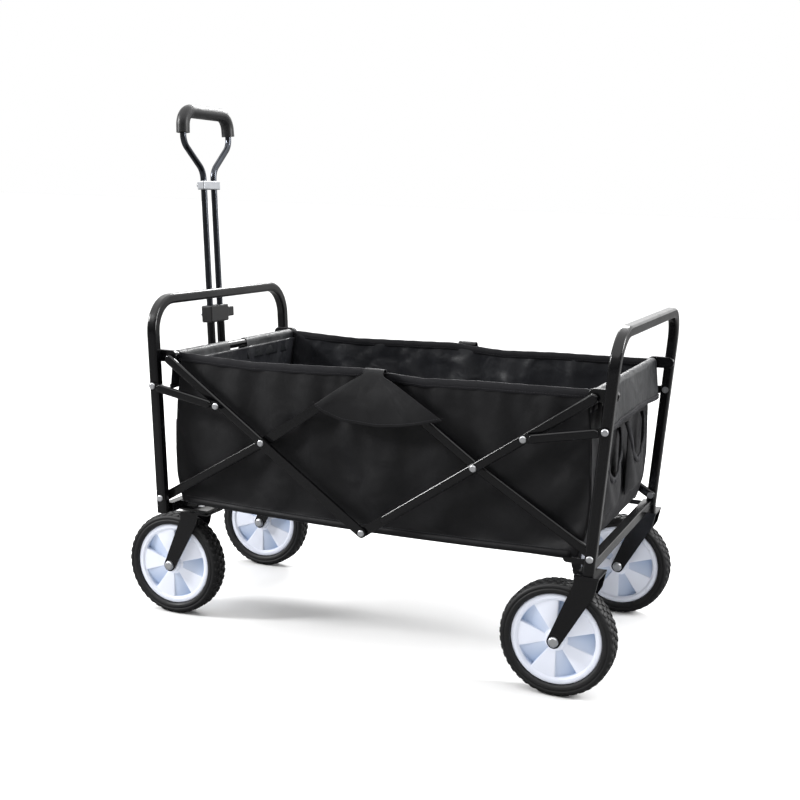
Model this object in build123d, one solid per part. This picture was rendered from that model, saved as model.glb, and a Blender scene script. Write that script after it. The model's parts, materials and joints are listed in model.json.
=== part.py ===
from build123d import *
import os
from math import atan2, cos, degrees, hypot, radians, sin, tan

# Folding camp wagon, millimetres, +Z up. The handle end is -X, the fixed wheels are at +X, left is -Y.

# overall sizes
leg_half_span = 252.0        # middle of the wagon to a leg's centre, across
end_half_length = 412.0      # middle of the wagon to a leg's centre at the low pivot, along
low_pivot_z = 248.0
bow_top_z = 618.0            # centre of a bow's top tube
bow_lean = 3.7               # degrees each end frame leans outwards
bow_bend = 62.0              # bend radius of a bow's corners
leg_size = 19.0
leg_corner = 4.5
leg_wall = 1.5
foot_z = 219.0               # underside of the end frames

# scissor pivots in the side plane
cross_x, cross_z = 203.0, 374.5
top_centre_z = 515.0
bottom_centre_z = 2 * cross_z - top_centre_z
rim_x, rim_z = 400.0, 516.0
link_leg_z = 461.0
link_bar_x = 291.0

# bars and links
bar_height = 17.0
bar_depth = 10.0
bar_gap = 2.0                # between the two bar planes
bar_leg_gap = 0.5            # between the inner bar plane and the leg
bar_tab_gap = 0.7
bar_tab_length = 52.0        # pressed flat so two ends fold together
bar_soft_edge, link_soft_edge = 4.2, 3.4
link_height = 15.0
link_depth = 8.0
link_tab_depth = 3.2
link_tab_length = 17.0
link_leg_gap = 0.5
rivet_radius = 3.0
rivet_head_radius = 6.2
rivet_head_height = 3.0
rivet_clearance = 0.3
rivet_head_soft = 2.4
rivet_back_height = 1.5
cut_over = 1.0               # how far a cutting tool runs past a face

# crossbars, rims and rails
crossbar_size = 18.0
crossbar_x = 405.0
crossbar_soft_edge = 2.0
mount_plate_depth = 4.0
rim_tube_radius = 8.0
rim_tube_half = 232.0
bracket_thickness = 22.0
bracket_soft_edge = 1.5
rail_hinge_x, rail_z = 366.0, 236.0
rail_radius = 4.0
rail_eye_step = 0.8
rail_tie_step = 0.1
rear_rail_y, front_rail_y = 220.0, 210.0
rail_overlap = 8.0
rail_lug_depth = 3.0
rail_lug_height = 16.0
rail_lug_gap = 0.5
rail_pin_radius = 2.0
rail_eye_radius = 6.0
board_inner_x, board_outer_x = 36.0, 356.0
board_half_width = 205.0
board_depth = 12.0
board_gap = 0.4
board_soft_edge = 2.5
rail_tie_xs = (64.0, 338.0)      # ties that join the two rails under each board

# wheels
tyre_radius = 100.0
tyre_half_width = 21.0
tyre_shoulder = 8.0
tyre_depth = 21.0             # rim's edge to the tread
rim_half_width = 16.0
rim_lip = 9.0
rim_hub_radius = 16.0
rim_hub_half = 23.0
rim_pockets = 5
rim_pocket_depth = 9.0
rim_dish_depth = 3.0
pocket_hub_margin, pocket_rim_margin = 6.0, 3.0
axle_radius = 6.0
axle_clearance = 0.3
axle_head_radius = 9.0
axle_head_height = 5.5
axle_head_soft = 3.85
wheel_fit = 0.1
rear_wheel_x, rear_wheel_y = 360.0, 236.0
caster_y = 178.0
caster_x = -373.0
caster_trail = 54.0
fork_arm_gap = 26.0          # wheel's middle plane to a fork arm's inner face
fork_plate = 3.0
fork_hub_radius = 12.0
fork_shoulder = 30.0
fork_step = 6.0
rear_fork_top = (388.0, 430.0)
caster_fork_half = 30.0
caster_arm_width = 38.0       # a caster fork's arm where it leaves the top
bearing_radius = 19.0
bearing_height = 3.5
kingpin_radius = 6.0
kingpin_head_radius, kingpin_head_height = 9.6, 4.0

# handle
handle_offset = 19.0         # bow plane to handle plane
handle_pivot_z = 246.0
handle_tube_y = 19.0
handle_pin_radius, handle_pin_gap = 4.0, 0.6
handle_pin_head_radius, handle_pin_head_height = 6.5, 2.5
handle_nose_radius = 8.0
outer_tube_plug = 22.0         # solid foot of each outer tube
outer_tube_radius = 8.0
inner_tube_radius = 6.2
tube_slide_gap = 0.3
outer_tube_low, outer_tube_high = -10.0, 342.0   # along the handle from its pivot
inner_tube_low = 252.0
clamp_centre, clamp_height = 329.0, 34.0
clamp_depth, clamp_width = 25.0, 66.0
upper_bracket_centre, upper_bracket_height = 586.0, 17.0
upper_bracket_depth, upper_bracket_width = 16.0, 62.0
bracket_edge, clamp_edge, lever_edge = 2.0, 3.0, 2.5
loop_neck, loop_wide, loop_top = 600.0, 668.0, 728.0
loop_half_width = 86.0
loop_top_half = 82.0
loop_lead = 14.0               # straight run past the neck before the first bend
loop_neck_bend, loop_wide_bend, loop_top_bend = 34.0, 30.0, 30.0
grip_radius = 13.0
grip_drop = 42.0
grip_split = 0.4
grip_screw_side, grip_screw_radius, grip_screw_height = 42.0, 3.0, 1.5
lever_length, lever_height, lever_depth = 34.0, 20.0, 8.0
lever_root_gap, lever_pin_out, lever_pin_radius = 1.5, 6.0, 2.0
lever_ear_gap, lever_ear_depth = 0.4, 3.0
lever_ear_length, lever_ear_root = 16.0, 4.0

# fabric solids
fabric_depth = 2.5
side_panel_y = 226.0
side_panel_low, side_panel_high = 246.0, 518.0
end_panel_x = 386.0
panel_gap = 0.3
end_panel_profile = ((384.5, 248.0), (396.0, 290.0), (400.0, 340.0), (397.0, 430.0),
                     (387.0, 500.0), (386.5, 516.0))     # inner face, along and up
pocket_y, pocket_width, pocket_depth = 97.0, 132.0, 34.0
pocket_low, pocket_high, pocket_corner = 290.0, 430.0, 14.0
sleeve_gap = 0.4
flap_drop = 66.0
flap_half = 222.0
front_flap_gap_half = 45.0
centre_flap_half, centre_flap_drop = 118.0, 96.0
centre_flap_crown, centre_flap_shoulder = 29.0, 67.0
strap_width, strap_length, strap_depth, strap_inset = 26.0, 90.0, 3.0, 8.0

# worked out from the sizes above
lean = tan(radians(bow_lean))
rim_radius = tyre_radius - tyre_depth
inner_bar_y = leg_half_span - leg_size / 2 - bar_leg_gap - bar_depth / 2
outer_bar_y = inner_bar_y + bar_depth + bar_gap
leg_outer_y = leg_half_span + leg_size / 2
link_y = leg_outer_y + link_leg_gap
caster_hub_x = caster_x - caster_trail
shift_x = -((caster_hub_x - tyre_radius) + (rear_wheel_x + tyre_radius)) / 2
low_pivot = (end_half_length, low_pivot_z)
crossing = (cross_x, cross_z)
top_centre = (0.0, top_centre_z)
bottom_centre = (0.0, bottom_centre_z)
drop_slope = (cross_z - bottom_centre_z) / cross_x
rim_corner = (rim_x, cross_z + (rim_x - cross_x) * drop_slope)
link_bar = (link_bar_x, cross_z + (link_bar_x - cross_x) * drop_slope)
fork_top_z = foot_z - mount_plate_depth
caster_fork_top_z = fork_top_z - bearing_height


def leg_x(z):
    """Centre of a leg along the wagon at height z."""
    return end_half_length + (z - low_pivot_z) * lean


link_leg = (leg_x(link_leg_z), link_leg_z)


def save(node, *solids):
    """Writes a node's solids, moved so the origin is under the middle of the wagon."""
    placed = [s.moved(Location((shift_x, 0, 0))) for s in solids]
    shape = placed[0] if len(placed) == 1 else Compound(children=placed)
    export_step(shape, f"parts/{node}.step")


def both_sides(shape):
    return [shape, shape.mirror(Plane.XZ)]


def front_of(shape):
    return shape.mirror(Plane.YZ)


def side_plane(y):
    """Plane looking along Y, with X across and Z up, its normal towards -Y."""
    return Plane(origin=(0, y, 0), x_dir=(1, 0, 0), z_dir=(0, -1, 0))


def solid_of(shape):
    """The one solid of a boolean result."""
    return shape.solids()[0]


def rod(start, end, radius):
    axis = Vector(end) - Vector(start)
    return Solid.make_cylinder(radius, axis.length, Plane(origin=start, z_dir=axis))


def block(x0, x1, y0, y1, z0, z1):
    low = (min(x0, x1), min(y0, y1), min(z0, z1))
    size = (abs(x1 - x0), abs(y1 - y0), abs(z1 - z0))
    return Solid.make_box(*size, Plane(origin=low))


def slot_bar(p, q, height, y0, y1, soft=0.0):
    """Round-ended bar from p to q in the side plane, between two distances out from the middle."""
    length, turn = hypot(q[0] - p[0], q[1] - p[1]), degrees(atan2(q[1] - p[1], q[0] - p[0]))
    middle = ((p[0] + q[0]) / 2, (p[1] + q[1]) / 2)
    outline = Rot(0, 0, turn) * SlotCenterToCenter(length, height)
    bar = extrude(side_plane(-y0) * Pos(*middle) * outline, y1 - y0)
    if soft:
        outer_rims = bar.faces().sort_by(Axis.Y)
        edges = outer_rims[0].edges() + outer_rims[-1].edges()
        bar = fillet(edges, soft)
    return bar


def along(p, q, distance):
    """The point a distance from p towards q."""
    share = distance / hypot(q[0] - p[0], q[1] - p[1])
    return (p[0] + (q[0] - p[0]) * share, p[1] + (q[1] - p[1]) * share)


def drill(shape, points, radius, y0, y1):
    for x, z in points:
        shape = shape - rod((x, -y0, z), (x, -y1, z), radius)
    return solid_of(shape)


def rivet(point, y0, y1, head_in=True):
    """Domed rivet: its shank runs from y0 out to y1, with a head beyond y1 and, if wanted, within y0."""
    x, z = point
    body = rod((x, -y0, z), (x, -y1, z), rivet_radius)
    head = rod((x, -y1, z), (x, -y1 - rivet_head_height, z), rivet_head_radius)
    head = fillet(head.edges().sort_by(Axis.Y)[0], rivet_head_soft)
    body = body + head
    if head_in:
        body = body + rod((x, -y0 + rivet_back_height, z), (x, -y0, z), rivet_head_radius)
    return solid_of(body)


hole = rivet_radius + rivet_clearance


def end_bow(toward):
    """Inverted U of square tube, leaning outwards; toward is 1 for the rear, -1 for the front."""
    up = Vector(toward * sin(radians(bow_lean)), 0, cos(radians(bow_lean)))
    origin = (toward * end_half_length, 0, low_pivot_z)
    plane = Plane(origin=origin, x_dir=(0, 1, 0), z_dir=Vector(0, 1, 0).cross(up))
    foot = (foot_z - low_pivot_z) / cos(radians(bow_lean))
    crown = (bow_top_z - low_pivot_z) / cos(radians(bow_lean))
    side = leg_half_span
    route = FilletPolyline((-side, foot), (-side, crown), (side, crown), (side, foot), radius=bow_bend)
    path = plane * route
    start = Plane(origin=path @ 0, x_dir=(0, 1, 0), z_dir=path % 0)
    outer = RectangleRounded(leg_size, leg_size, leg_corner)
    inner = RectangleRounded(leg_size - 2 * leg_wall, leg_size - 2 * leg_wall, leg_corner - leg_wall)
    tube = sweep(start * (outer - inner), path=path)
    # feet cut level, and a bore across each leg for its two rivets
    tube = tube & block(-2 * rim_x, 2 * rim_x, -2 * side, 2 * side, foot_z, 2 * bow_top_z)
    for x, z in (low_pivot, link_leg):
        across = rod((toward * x, -side - leg_size, z), (toward * x, side + leg_size, z), hole)
        tube = tube - across
    return solid_of(tube)


def crossbar():
    half = leg_half_span - leg_size / 2
    low = crossbar_x - crossbar_size / 2
    outer = block(low, low + crossbar_size, -half, half, foot_z, foot_z + crossbar_size)
    outer = fillet(outer.edges().filter_by(Axis.Y), crossbar_soft_edge)
    near, far = leg_wall, crossbar_size - leg_wall
    cavity = block(low + near, low + far, -half, half, foot_z + near, foot_z + far)
    return solid_of(outer - cavity)


def rim_tube():
    outer = rod((rim_x, -rim_tube_half, rim_z), (rim_x, rim_tube_half, rim_z), rim_tube_radius)
    inner = rod((rim_x, -rim_tube_half, rim_z), (rim_x, rim_tube_half, rim_z), rim_tube_radius - leg_wall)
    return solid_of(outer - inner)


def corner_bracket():
    """Moulded corner from the rim tube's end to the leg's inner face."""
    inner_y, outer_y = rim_tube_half, leg_half_span - leg_size / 2
    body = slot_bar((rim_x, rim_z), (leg_x(rim_z), rim_z), bracket_thickness, inner_y, outer_y,
                    bracket_soft_edge)
    return solid_of(body)


def rail_lug(rail_y):
    """Lug on the crossbar that holds a bottom rail's hinge pin."""
    inner = rail_y + rail_radius + rail_lug_gap
    outer = inner + rail_lug_depth
    face_x = crossbar_x - crossbar_size / 2
    half = rail_lug_height / 2
    top = min(rail_z + half, foot_z + crossbar_size)
    plate = block(rail_hinge_x, face_x, -inner, -outer, rail_z - half, top)
    eye = rod((rail_hinge_x, -inner, rail_z), (rail_hinge_x, -outer, rail_z), half)
    reach = rail_y - rail_radius - cut_over
    pin = rod((rail_hinge_x, -outer, rail_z), (rail_hinge_x, -reach, rail_z), rail_pin_radius)
    return solid_of(plate + eye + pin)


def bottom_rails(rail_y):
    """A pair of rails with an eye at each hinge, joined by the ties that carry the floor board."""
    half = rail_radius - rail_eye_step
    pair = []
    for y in (-rail_y, rail_y):
        eye = rod((rail_hinge_x, y - half, rail_z), (rail_hinge_x, y + half, rail_z), rail_eye_radius)
        tube = rod((rail_hinge_x, y, rail_z), (-rail_overlap, y, rail_z), rail_radius)
        pair.append(drill(eye + tube, [(rail_hinge_x, rail_z)], rail_pin_radius + rivet_clearance,
                          -y - 2 * rail_radius, -y + 2 * rail_radius))
    ties = [rod((x, -rail_y, rail_z), (x, rail_y, rail_z), rail_radius - rail_tie_step) for x in rail_tie_xs]
    return solid_of(pair[0] + ties + pair[1])


def floor_board():
    low = rail_z + rail_radius + board_gap
    board = block(board_inner_x, board_outer_x, -board_half_width, board_half_width, low, low + board_depth)
    return fillet(board.edges(), board_soft_edge)


def rise_bar(tab_low, tab_high):
    """From the leg's low pivot up through the crossing to the top centre."""
    low, high = inner_bar_y - bar_depth / 2, inner_bar_y + bar_depth / 2
    lower = slot_bar(low_pivot, crossing, bar_height, low, high, bar_soft_edge)
    shoulder = along(top_centre, crossing, bar_tab_length)
    upper = slot_bar(crossing, shoulder, bar_height, low, high, bar_soft_edge)
    tab = slot_bar(crossing, top_centre, bar_height, tab_low, tab_high)
    return drill(lower + upper + tab, [low_pivot, crossing, top_centre], hole, low - cut_over, high + cut_over)


def drop_bar(tab_low, tab_high):
    """From the rim corner down through the crossing to the bottom centre."""
    low, high = outer_bar_y - bar_depth / 2, outer_bar_y + bar_depth / 2
    shoulder = along(bottom_centre, crossing, bar_tab_length)
    body = slot_bar(rim_corner, shoulder, bar_height, low, high, bar_soft_edge)
    tab = slot_bar(crossing, bottom_centre, bar_height, tab_low, tab_high)
    return drill(body + tab, [crossing, bottom_centre], hole, low - cut_over, high + cut_over)


def link_arm():
    low, high = link_y, link_y + link_depth
    a, b = along(link_leg, link_bar, link_tab_length), along(link_bar, link_leg, link_tab_length)
    body = slot_bar(a, b, link_height, low, high, link_soft_edge)
    tab = slot_bar(link_leg, link_bar, link_height, low, low + link_tab_depth)
    return drill(body + tab, [link_leg, link_bar], hole, low - cut_over, high + cut_over)


def fork(top_x0, top_x1, arm_x1, top_z, hub_x, wheel_y, hole_x=None):
    """Folded sheet yoke: a top plate and two arms that taper to the axle."""
    inner, outer = fork_arm_gap, fork_arm_gap + fork_plate
    axis = Vector(hub_x - (top_x0 + top_x1) / 2, tyre_radius - top_z).normalized()
    side = Vector(-axis.Y, axis.X)
    hub = Vector(hub_x, tyre_radius)
    a, b = hub + side * fork_hub_radius, hub - side * fork_hub_radius
    outline = Polyline((top_x0, top_z), (arm_x1, top_z), (arm_x1 - fork_step, top_z - fork_shoulder),
                       (a.X, a.Y), (b.X, b.Y), (top_x0, top_z - fork_shoulder / 2), close=True)
    arm_face = make_face(outline) + Pos(hub.X, hub.Y) * Circle(fork_hub_radius)
    arm_face -= Pos(hub.X, hub.Y) * Circle(axle_radius + wheel_fit)
    left = extrude(side_plane(wheel_y - inner) * arm_face, fork_plate)
    right = extrude(side_plane(wheel_y + outer) * arm_face, fork_plate)
    top = block(top_x0, top_x1, wheel_y - outer, wheel_y + outer, top_z - fork_plate, top_z)
    if hole_x is not None:
        above, below = (hole_x, wheel_y, top_z + cut_over), (hole_x, wheel_y, top_z - 2 * fork_plate)
        top = top - rod(above, below, kingpin_radius + wheel_fit)
    return solid_of(left + right + top)


def axle(hub_x, wheel_y):
    """Through bolt with a domed head at one end and a dome nut at the other."""
    reach = fork_arm_gap + fork_plate + wheel_fit
    body = rod((hub_x, wheel_y - reach, tyre_radius), (hub_x, wheel_y + reach, tyre_radius), axle_radius)
    for sign in (-1, 1):
        cap = rod((hub_x, wheel_y + sign * reach, tyre_radius),
                  (hub_x, wheel_y + sign * (reach + axle_head_height), tyre_radius), axle_head_radius)
        rim = cap.edges().sort_by(Axis.Y)[0 if sign < 0 else -1]
        body = body + fillet(rim, axle_head_soft)
    return solid_of(body)


def kingpin(wheel_y):
    low = caster_fork_top_z - fork_plate
    pin = rod((caster_x, wheel_y, low), (caster_x, wheel_y, foot_z - wheel_fit), kingpin_radius)
    head = rod((caster_x, wheel_y, low - kingpin_head_height), (caster_x, wheel_y, low), kingpin_head_radius)
    return solid_of(pin + head)


def bearing_ring(wheel_y):
    low, high = caster_fork_top_z, fork_top_z - 2 * wheel_fit
    ring = rod((caster_x, wheel_y, low), (caster_x, wheel_y, high), bearing_radius)
    bore_low, bore_high = (caster_x, wheel_y, low - cut_over), (caster_x, wheel_y, high + cut_over)
    ring -= rod(bore_low, bore_high, kingpin_radius + wheel_fit)
    return solid_of(ring)


def wheel_place(hub_x, wheel_y):
    """Moves a wheel modelled about the Z axis to its axle."""
    return Location((hub_x, wheel_y, tyre_radius), (90, 0, 0))


def tyre():
    profile = Rectangle(tyre_radius - rim_radius - wheel_fit, 2 * tyre_half_width)
    profile = fillet(profile.vertices().sort_by(Axis.X)[-2:], tyre_shoulder)
    section = Plane.XZ * Pos((tyre_radius + rim_radius + wheel_fit) / 2, 0) * profile
    return solid_of(revolve(section, Axis.Z))


def wheel_rim():
    """Moulded disc with an outer lip, a hub and sunk pockets on both faces."""
    ring_in = rim_radius - rim_lip
    web = rim_half_width - rim_dish_depth
    disc = Solid.make_cylinder(rim_radius, 2 * rim_half_width, Plane(origin=(0, 0, -rim_half_width)))
    for sign in (-1, 1):
        low = web if sign > 0 else -rim_half_width
        dish = Solid.make_cylinder(ring_in, rim_dish_depth, Plane(origin=(0, 0, low)))
        disc = disc - dish
    hub = Solid.make_cylinder(rim_hub_radius, 2 * rim_hub_half, Plane(origin=(0, 0, -rim_hub_half)))
    disc = disc + hub
    half_angle = 180 / rim_pockets / 2
    reach = ring_in - pocket_rim_margin
    spread = reach * tan(radians(half_angle))
    wedge = Polyline((rim_hub_radius + pocket_hub_margin, 0), (reach, -spread), (reach, spread), close=True)
    face = make_face(wedge) & Circle(reach)
    for sign in (-1, 1):
        level = sign * web - (rim_pocket_depth if sign > 0 else 0)
        for n in range(rim_pockets):
            turned = Rot(0, 0, n * 360 / rim_pockets) * face
            disc = disc - extrude(Pos(0, 0, level) * turned, rim_pocket_depth)
    through = Plane(origin=(0, 0, -2 * rim_hub_half))
    bore = Solid.make_cylinder(axle_radius + axle_clearance, 4 * rim_hub_half, through)
    return solid_of(disc - bore)


def handle_frame(height):
    """Local frame of the handle: X across the wagon, Y along the handle, normal outwards."""
    pivot_x = -(leg_x(handle_pivot_z) + handle_offset)
    up = Vector(-sin(radians(bow_lean)), 0, cos(radians(bow_lean)))
    origin = Vector(pivot_x, 0, handle_pivot_z) + up * height
    return Plane(origin=origin, x_dir=(0, -1, 0), z_dir=Vector(0, -1, 0).cross(up))


def handle_rod(side, low, high, radius):
    base = handle_frame(0)
    return rod(base.from_local_coords((side, low, 0)), base.from_local_coords((side, high, 0)), radius)


def handle_block(width, height, depth, centre, soft, offset=0.0):
    body = extrude(handle_frame(centre) * Pos(offset, 0) * Rectangle(width, height), depth / 2, both=True)
    return fillet(body.edges(), soft)


def outer_tube(side):
    tube = handle_rod(side, outer_tube_low, outer_tube_high, outer_tube_radius)
    bore_radius = inner_tube_radius + tube_slide_gap
    tube -= handle_rod(side, outer_tube_low + outer_tube_plug, outer_tube_high, bore_radius)
    pivot = handle_frame(0).origin
    reach = 2 * handle_tube_y + outer_tube_radius
    out = Vector(0, reach, 0)
    return solid_of(tube - rod(pivot - out, pivot + out, handle_pin_radius + rivet_clearance))


def handle_loop():
    """The two sliding tubes and the loop they open into, bent from one piece of tube."""
    bends = [loop_neck_bend, loop_wide_bend, loop_top_bend]
    route = FilletPolyline(
        (-handle_tube_y, inner_tube_low), (-handle_tube_y, loop_neck + loop_lead),
        (-loop_half_width, loop_wide),
        (-loop_top_half, loop_top), (loop_top_half, loop_top), (loop_half_width, loop_wide),
        (handle_tube_y, loop_neck + loop_lead), (handle_tube_y, inner_tube_low),
        radius=bends + bends[::-1])
    path = handle_frame(0) * route
    return solid_of(sweep(Plane(origin=path @ 0, z_dir=path % 0) * Circle(inner_tube_radius), path=path))


def grip_halves():
    """Two moulded shells that close round the loop's top and part of its sides."""
    low = loop_top - grip_drop
    share = (low - loop_wide) / (loop_top - loop_wide)
    end_y = loop_half_width + (loop_top_half - loop_half_width) * share
    route = FilletPolyline((-end_y, low), (-loop_top_half, loop_top), (loop_top_half, loop_top), (end_y, low),
                           radius=loop_top_bend)
    path = handle_frame(0) * route
    start = Plane(origin=path @ 0, z_dir=path % 0)
    ring = Circle(grip_radius) - Circle(inner_tube_radius + tube_slide_gap)
    shell = solid_of(sweep(start * ring, path=path))
    size = 4 * loop_half_width
    halves = []
    for sign in (1, -1):
        cut = handle_frame(loop_top) * Pos(0, 0, sign * grip_split / 2) * Rectangle(size, size)
        keep = extrude(cut, sign * size)
        halves.append(solid_of(shell & keep))
    return halves


def grip_screw(side):
    base, low = handle_frame(0), grip_radius + wheel_fit
    a = base.from_local_coords((side, loop_top, low))
    b = base.from_local_coords((side, loop_top, low + grip_screw_height))
    return rod(a, b, grip_screw_radius)


def upper_bracket():
    size = (upper_bracket_width, upper_bracket_height, upper_bracket_depth)
    body = handle_block(*size, upper_bracket_centre, bracket_edge)
    for side in (-handle_tube_y, handle_tube_y):
        body -= handle_rod(side, 0, loop_neck, inner_tube_radius + wheel_fit)
    return solid_of(body)


def lower_clamp():
    body = handle_block(clamp_width, clamp_height, clamp_depth, clamp_centre, clamp_edge)
    ear_at = lever_height / 2 + lever_ear_gap + lever_ear_depth / 2
    pin_y = clamp_width / 2 + lever_pin_out
    for sign in (-1, 1):
        ear = Rectangle(lever_ear_length, lever_ear_depth)
        place = Pos(-(clamp_width / 2 - lever_ear_root + lever_ear_length / 2), sign * ear_at)
        body += extrude(handle_frame(clamp_centre) * place * ear, lever_depth / 2, both=True)
    pin_ends = clamp_centre - ear_at, clamp_centre + ear_at
    body += handle_rod(-pin_y, *pin_ends, lever_pin_radius)
    for side in (-handle_tube_y, handle_tube_y):
        body -= handle_rod(side, 0, outer_tube_high, outer_tube_radius + wheel_fit)
        body -= handle_rod(side, outer_tube_high, loop_neck, inner_tube_radius + tube_slide_gap)
    return solid_of(body)


def clamp_lever():
    """Paddle on the clamp's right end, on a pin that runs along the handle."""
    start = clamp_width / 2 + lever_root_gap
    offset = -(start + lever_length / 2)
    body = handle_block(lever_length, lever_height, lever_depth, clamp_centre, lever_edge, offset)
    bore = handle_rod(-(clamp_width / 2 + lever_pin_out), 0, loop_neck, lever_pin_radius + rivet_clearance)
    return solid_of(body - bore)


def handle_bracket():
    """Block on the front crossbar that carries the handle's pivot pin between its two tubes."""
    pivot = handle_frame(0).origin
    half = handle_tube_y - outer_tube_radius - handle_pin_gap
    face_x = -(crossbar_x + crossbar_size / 2)
    body = block(face_x, pivot.X, -half, half, foot_z + cut_over, handle_pivot_z + handle_nose_radius)
    nose = rod((pivot.X, -half, handle_pivot_z), (pivot.X, half, handle_pivot_z), handle_nose_radius)
    return drill(body + nose, [(pivot.X, handle_pivot_z)], handle_pin_radius + wheel_fit, -2 * half, 2 * half)


def handle_pin():
    pivot = handle_frame(0).origin
    reach = handle_tube_y + outer_tube_radius + handle_pin_gap
    pin = rod(pivot - Vector(0, reach, 0), pivot + Vector(0, reach, 0), handle_pin_radius)
    for sign in (-1, 1):
        base, end = Vector(0, sign * reach, 0), Vector(0, sign * (reach + handle_pin_head_height), 0)
        pin = pin + rod(pivot + base, pivot + end, handle_pin_head_radius)
    return solid_of(pin)


def end_panel():
    half = side_panel_y - panel_gap
    outer = [(x + fabric_depth, z) for x, z in end_panel_profile[::-1]]
    outline = Polyline(*end_panel_profile, *outer, close=True)
    return extrude(side_plane(-half) * make_face(outline), -2 * half)


def end_pocket():
    inner = max(x for x, z in end_panel_profile) + fabric_depth + sleeve_gap
    y0, y1 = pocket_y - pocket_width / 2, pocket_y + pocket_width / 2
    body = block(inner, inner + pocket_depth, y0, y1, pocket_low, pocket_high)
    return fillet(body.edges(), pocket_corner)


def end_flap(y0, y1):
    """Sleeve round the rim tube with a flap hanging outside it."""
    inner, outer = rim_tube_radius + sleeve_gap, rim_tube_radius + sleeve_gap + fabric_depth
    sleeve = rod((rim_x, y0, rim_z), (rim_x, y1, rim_z), outer)
    flap = block(rim_x + inner, rim_x + outer, y0, y1, rim_z - flap_drop, rim_z)
    body = sleeve + flap
    return solid_of(body - rod((rim_x, y0 - cut_over, rim_z), (rim_x, y1 + cut_over, rim_z), inner))


def side_panel():
    half = end_panel_x - panel_gap
    return block(-half, half, -side_panel_y - fabric_depth, -side_panel_y, side_panel_low, side_panel_high)


def centre_flap():
    """Fan of fabric outside the top centre pivot, carried over it from the side panel's edge."""
    y = outer_bar_y + bar_depth / 2 + 2 * rivet_head_height
    half, wide = centre_flap_crown, centre_flap_half
    outline = Polyline((-half, 0), (half, 0), (wide, -centre_flap_shoulder), (0, -centre_flap_drop),
                       (-wide, -centre_flap_shoulder), close=True)
    crown = top_centre_z + bar_height / 2 + sleeve_gap
    body = extrude(side_plane(-y) * Pos(0, crown) * make_face(outline), fabric_depth)
    body += block(-half, half, -side_panel_y, -y - fabric_depth, crown, crown + fabric_depth)
    body += block(-half, half, -side_panel_y, -side_panel_y - fabric_depth, side_panel_high + panel_gap, crown)
    return solid_of(body)


os.makedirs("parts", exist_ok=True)

bar_low, bar_high = inner_bar_y - bar_depth / 2, inner_bar_y + bar_depth / 2
out_low, out_high = outer_bar_y - bar_depth / 2, outer_bar_y + bar_depth / 2
tab = (bar_depth - bar_tab_gap) / 2

# end frames
for end, toward in (("rear", 1), ("front", -1)):
    turn = (lambda s: s) if toward > 0 else front_of
    rail_y = rear_rail_y if toward > 0 else front_rail_y
    save(f"{end}_bow", end_bow(toward))
    save(f"{end}_crossbar", turn(crossbar()))
    save(f"{end}_rim_tube", turn(rim_tube()))
    save(f"{end}_brackets", *[turn(s) for s in both_sides(corner_bracket()) + both_sides(rail_lug(rail_y))])
    leg_in = leg_half_span - leg_size / 2
    low_rivet = rivet(low_pivot, bar_low - rivet_clearance, leg_outer_y)
    high_rivet = rivet(link_leg, leg_in, link_y + link_tab_depth + rivet_clearance)
    save(f"{end}_leg_rivets", *[turn(s) for s in both_sides(low_rivet) + both_sides(high_rivet)])
    save(f"{end}_links", *[turn(s) for s in both_sides(link_arm())])
    link_rivet = rivet(link_bar, out_high + 2 * rivet_clearance, link_y + link_tab_depth, False)
    save(f"{end}_link_rivets", *[turn(s) for s in both_sides(link_rivet)])
    save(f"{end}_bottom_rails", turn(bottom_rails(rail_y)))
    save(f"{end}_floor_board", turn(floor_board()))
    save(f"{end}_end_panel", turn(end_panel()))
    save(f"{end}_end_pockets", *[turn(s) for s in both_sides(end_pocket())])
save("rear_end_flap", end_flap(-flap_half, flap_half))
save("front_end_flap", *both_sides(front_of(end_flap(-flap_half, -front_flap_gap_half))))

# scissor bars
save("rear_rise_bars", *both_sides(rise_bar(bar_low, bar_low + tab)))
save("front_rise_bars", *[front_of(s) for s in both_sides(rise_bar(bar_high - tab, bar_high))])
save("rear_drop_bars", *both_sides(drop_bar(out_low, out_low + tab)))
save("front_drop_bars", *[front_of(s) for s in both_sides(drop_bar(out_high - tab, out_high))])
cross_rivet = rivet(crossing, bar_low - rivet_clearance, out_high + rivet_clearance)
top_rivet = rivet(top_centre, bar_low - rivet_clearance, bar_high + rivet_clearance)
bottom_rivet = rivet(bottom_centre, out_low - rivet_clearance, out_high + rivet_clearance)
save("rear_rise_rivets", *both_sides(cross_rivet), *both_sides(top_rivet))
save("front_rise_rivets", *[front_of(s) for s in both_sides(cross_rivet)])
save("drop_bar_rivets", *both_sides(bottom_rivet))

# rear wheels on fixed forks
rear_ys = (-rear_wheel_y, rear_wheel_y)
rear_forks = [fork(*rear_fork_top, rear_fork_top[1], foot_z, rear_wheel_x, y) for y in rear_ys]
save("rear_forks", *rear_forks)
save("rear_axles", *[axle(rear_wheel_x, y) for y in rear_ys])
tyre_shape, rim_shape = tyre(), wheel_rim()
for name, sign in (("left", -1), ("right", 1)):
    place = wheel_place(rear_wheel_x, sign * rear_wheel_y)
    save(f"rear_{name}_tyre", tyre_shape.moved(place))
    save(f"rear_{name}_rim", rim_shape.moved(place))

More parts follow.
